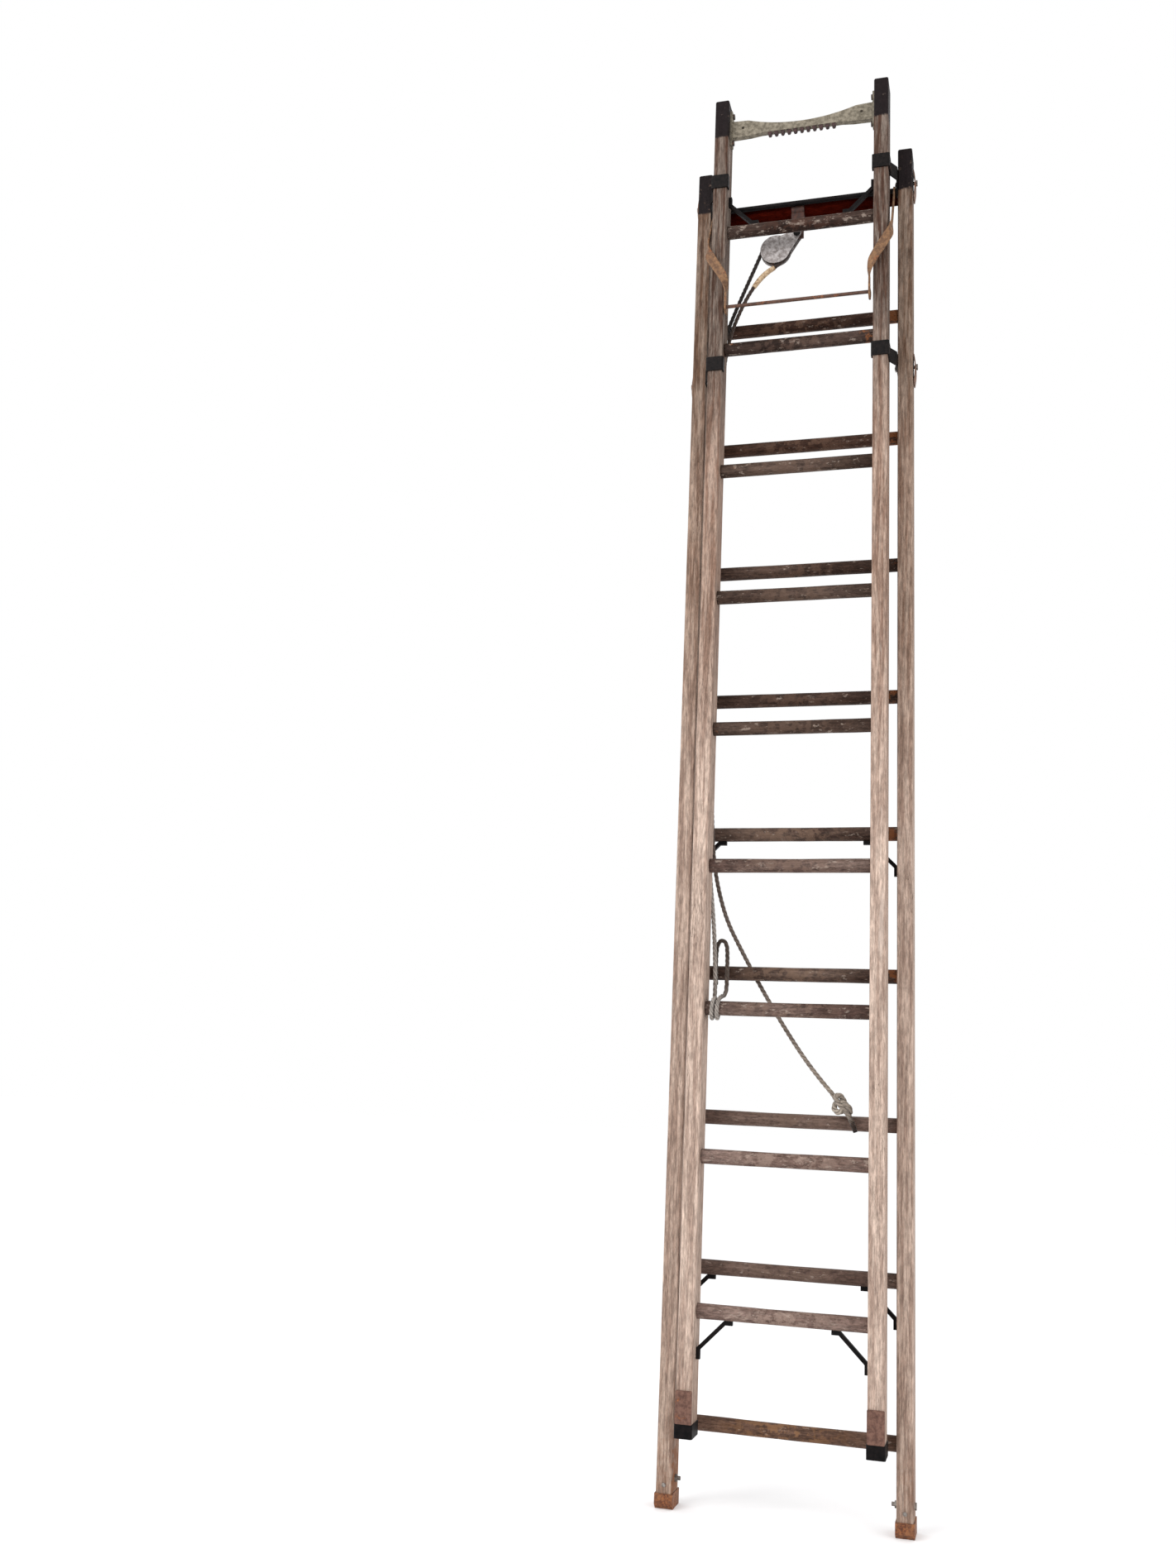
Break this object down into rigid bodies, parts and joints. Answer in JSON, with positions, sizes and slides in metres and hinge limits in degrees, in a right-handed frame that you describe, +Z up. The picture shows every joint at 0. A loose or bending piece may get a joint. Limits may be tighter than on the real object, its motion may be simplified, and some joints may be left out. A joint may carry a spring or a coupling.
{
  "type": "extension ladder",
  "caption": "Wooden two-section extension ladder with guide irons, gravity rung lock, pole strap, pulley block and halyard.",
  "frame": {"origin": "on the floor, midway between the two base rails, in the middle of their depth", "axes": "+Z up along the rails, +X to the right as seen from the front, +Y towards the wall it leans on"},
  "size_m": [0.5296, 0.1478, 3.17],
  "materials": {
    "base_rail_wood": "weathered, black painted top",
    "fly_rail_wood": "weathered, black painted top",
    "rung_wood": "worn, dark stained",
    "top_rung_iron_stained_wood": "red-brown stained",
    "halyard": "weathered rope",
    "cast_strap": "cast, dull and soiled",
    "strap_rubber": "dull",
    "rusted_shoe": "rusted",
    "rusted_iron": "rusted",
    "galvanised": "dull zinc",
    "cast_sheave": "dull",
    "fastener_steel": "soiled",
    "black_iron": "worn black paint"
  },
  "bodies": {
    "base": {"base_brace_low_left": "black_iron", "base_brace_low_right": "black_iron", "base_brace_mid_left": "black_iron", "base_brace_mid_right": "black_iron", "base_foot_bolts": "fastener_steel", "base_rail_left": "base_rail_wood", "base_rail_right": "base_rail_wood", "base_rung_01": "rung_wood", "base_rung_02": "rung_wood", "base_rung_03": "rung_wood", "base_rung_04": "rung_wood", "base_rung_05": "rung_wood", "base_rung_06": "rung_wood", "base_rung_07": "rung_wood", "base_rung_08": "rung_wood", "base_rung_09": "rung_wood", "base_rung_10": "top_rung_iron_stained_wood", "base_shoe_left": "rusted_shoe", "base_shoe_right": "rusted_shoe", "guide_backing_plates": "rusted_iron", "guide_bolts": "fastener_steel", "guide_iron_lower_left": "black_iron", "guide_iron_lower_right": "black_iron", "guide_iron_upper_left": "black_iron", "guide_iron_upper_right": "black_iron", "lock_brackets": "black_iron", "pulley_axle": "galvanised", "pulley_bolt": "black_iron", "pulley_cheeks": "galvanised", "pulley_hanger": "rusted_iron", "rope_fly_side": "halyard", "rope_free_side": "halyard", "rope_knot": "halyard", "rope_tail": "halyard"},
    "fly": {"fly_brace_bottom_left": "black_iron", "fly_brace_bottom_right": "black_iron", "fly_brace_top_left": "black_iron", "fly_brace_top_right": "black_iron", "fly_end_caps": "black_iron", "fly_end_plates": "rusted_iron", "fly_rail_left": "fly_rail_wood", "fly_rail_right": "fly_rail_wood", "fly_rung_01": "rung_wood", "fly_rung_02": "rung_wood", "fly_rung_03": "rung_wood", "fly_rung_04": "rung_wood", "fly_rung_05": "rung_wood", "fly_rung_06": "rung_wood", "fly_rung_07": "rung_wood", "fly_rung_08": "rung_wood", "fly_rung_09": "rung_wood", "pole_strap": "cast_strap", "pole_strap_bolts": "fastener_steel", "pole_strap_teeth": "strap_rubber", "rope_hitch": "halyard"},
    "lock": {"lock_arm_left": "rusted_iron", "lock_arm_right": "rusted_iron", "lock_rod": "rusted_iron", "lock_shaft": "black_iron"},
    "sheave": {"sheave": "cast_sheave"}
  },
  "joints": [
    {"name": "fly_slide", "type": "slide", "parent": "base", "child": "fly", "axis": [0, 0, 1], "range_m": [0, 1.332], "deforming": ["rope_fly_side"]},
    {"name": "lock_swing", "type": "hinge", "parent": "base", "child": "lock", "pos_m": [0, -0.025, 2.914], "axis": [-1, 0, 0], "range_deg": [-3.3, 35]},
    {"name": "sheave_spin", "type": "hinge", "parent": "base", "child": "sheave", "pos_m": [-0.065, -0.014, 2.8], "axis": [0, 1, 0], "continuous": true}
  ],
  "couplings": [
    {"joint": "sheave_spin", "follows": "fly_slide", "rad_per_m": 31.546}
  ]
}
